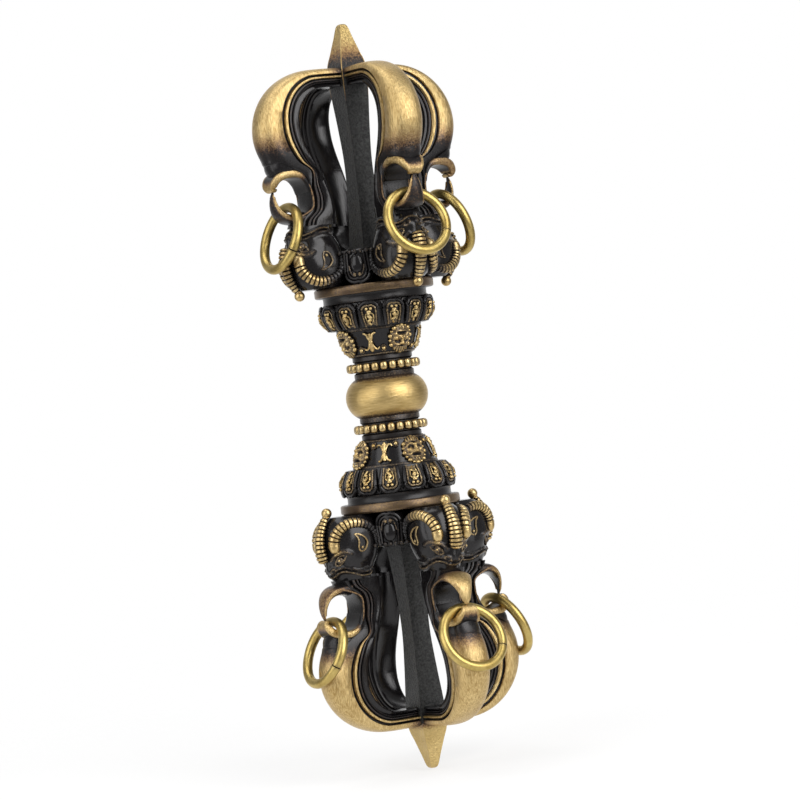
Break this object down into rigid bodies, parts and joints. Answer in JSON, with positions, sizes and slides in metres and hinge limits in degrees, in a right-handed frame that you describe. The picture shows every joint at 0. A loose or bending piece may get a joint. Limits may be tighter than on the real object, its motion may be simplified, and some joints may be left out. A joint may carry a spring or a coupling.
{
  "type": "dorje vajra",
  "caption": "Ritual dorje vajra: a bead hub between two mirrored ends, each a lotus, makara heads and bowed prongs closing on a centre prong, with rings that hang from the prongs.",
  "frame": {"origin": "middle of the hub bead, which is the middle of the whole object", "axes": "+Z along the axis towards the upper end, which is the end whose rings hang towards the hub; +X and +Y through the east and north prongs"},
  "size_m": [0.0664, 0.0664, 0.2],
  "materials": {
    "bright_brass": "brushed",
    "prong_brass": "satin",
    "dark_brass": "satin",
    "dark_patina": "satin",
    "ring_brass": "polished",
    "rod_steel": "satin"
  },
  "bodies": {
    "vajra": {"hub_bead": "bright_brass", "tie_rod": "rod_steel", "upper_bead_ring": "bright_brass", "upper_mask_collar": "dark_patina", "upper_lotus_collar": "dark_patina", "upper_base_plate": "dark_brass", "upper_petal_cup": "dark_patina", "upper_centre_prong": "prong_brass", "lower_bead_ring": "bright_brass", "lower_mask_collar": "dark_patina", "lower_lotus_collar": "dark_patina", "lower_base_plate": "dark_brass", "lower_petal_cup": "dark_patina", "lower_centre_prong": "prong_brass", "upper_makara_east": "dark_patina", "upper_makara_north": "dark_patina", "upper_makara_west": "dark_patina", "upper_makara_south": "dark_patina", "upper_prong_east": "prong_brass", "upper_prong_north": "prong_brass", "upper_prong_west": "prong_brass", "upper_prong_south": "prong_brass", "lower_makara_east": "dark_patina", "lower_makara_north": "dark_patina", "lower_makara_west": "dark_patina", "lower_makara_south": "dark_patina", "lower_prong_east": "prong_brass", "lower_prong_north": "prong_brass", "lower_prong_west": "prong_brass", "lower_prong_south": "prong_brass"},
    "upper_ring_east_body": {"upper_ring_east": "ring_brass"},
    "upper_ring_north_body": {"upper_ring_north": "ring_brass"},
    "upper_ring_west_body": {"upper_ring_west": "ring_brass"},
    "upper_ring_south_body": {"upper_ring_south": "ring_brass"},
    "lower_ring_east_body": {"lower_ring_east": "ring_brass"},
    "lower_ring_north_body": {"lower_ring_north": "ring_brass"},
    "lower_ring_west_body": {"lower_ring_west": "ring_brass"},
    "lower_ring_south_body": {"lower_ring_south": "ring_brass"}
  },
  "joints": [
    {"name": "upper_ring_east_swing", "type": "hinge", "parent": "vajra", "child": "upper_ring_east_body", "pos_m": [0.0233, 0, 0.0525], "axis": [0, -1, 0], "range_deg": [0, 125]},
    {"name": "upper_ring_north_swing", "type": "hinge", "parent": "vajra", "child": "upper_ring_north_body", "pos_m": [0, 0.0233, 0.0525], "axis": [1, 0, 0], "range_deg": [0, 125]},
    {"name": "upper_ring_west_swing", "type": "hinge", "parent": "vajra", "child": "upper_ring_west_body", "pos_m": [-0.0233, 0, 0.0525], "axis": [0, 1, 0], "range_deg": [0, 125]},
    {"name": "upper_ring_south_swing", "type": "hinge", "parent": "vajra", "child": "upper_ring_south_body", "pos_m": [0, -0.0233, 0.0525], "axis": [-1, 0, 0], "range_deg": [0, 125]},
    {"name": "lower_ring_east_swing", "type": "hinge", "parent": "vajra", "child": "lower_ring_east_body", "pos_m": [0.0249, 0, -0.0574], "axis": [0, -1, 0], "range_deg": [0, 135]},
    {"name": "lower_ring_north_swing", "type": "hinge", "parent": "vajra", "child": "lower_ring_north_body", "pos_m": [0, 0.0249, -0.0574], "axis": [1, 0, 0], "range_deg": [0, 135]},
    {"name": "lower_ring_west_swing", "type": "hinge", "parent": "vajra", "child": "lower_ring_west_body", "pos_m": [-0.0249, 0, -0.0574], "axis": [0, 1, 0], "range_deg": [0, 135]},
    {"name": "lower_ring_south_swing", "type": "hinge", "parent": "vajra", "child": "lower_ring_south_body", "pos_m": [0, -0.0249, -0.0574], "axis": [-1, 0, 0], "range_deg": [0, 135]}
  ]
}
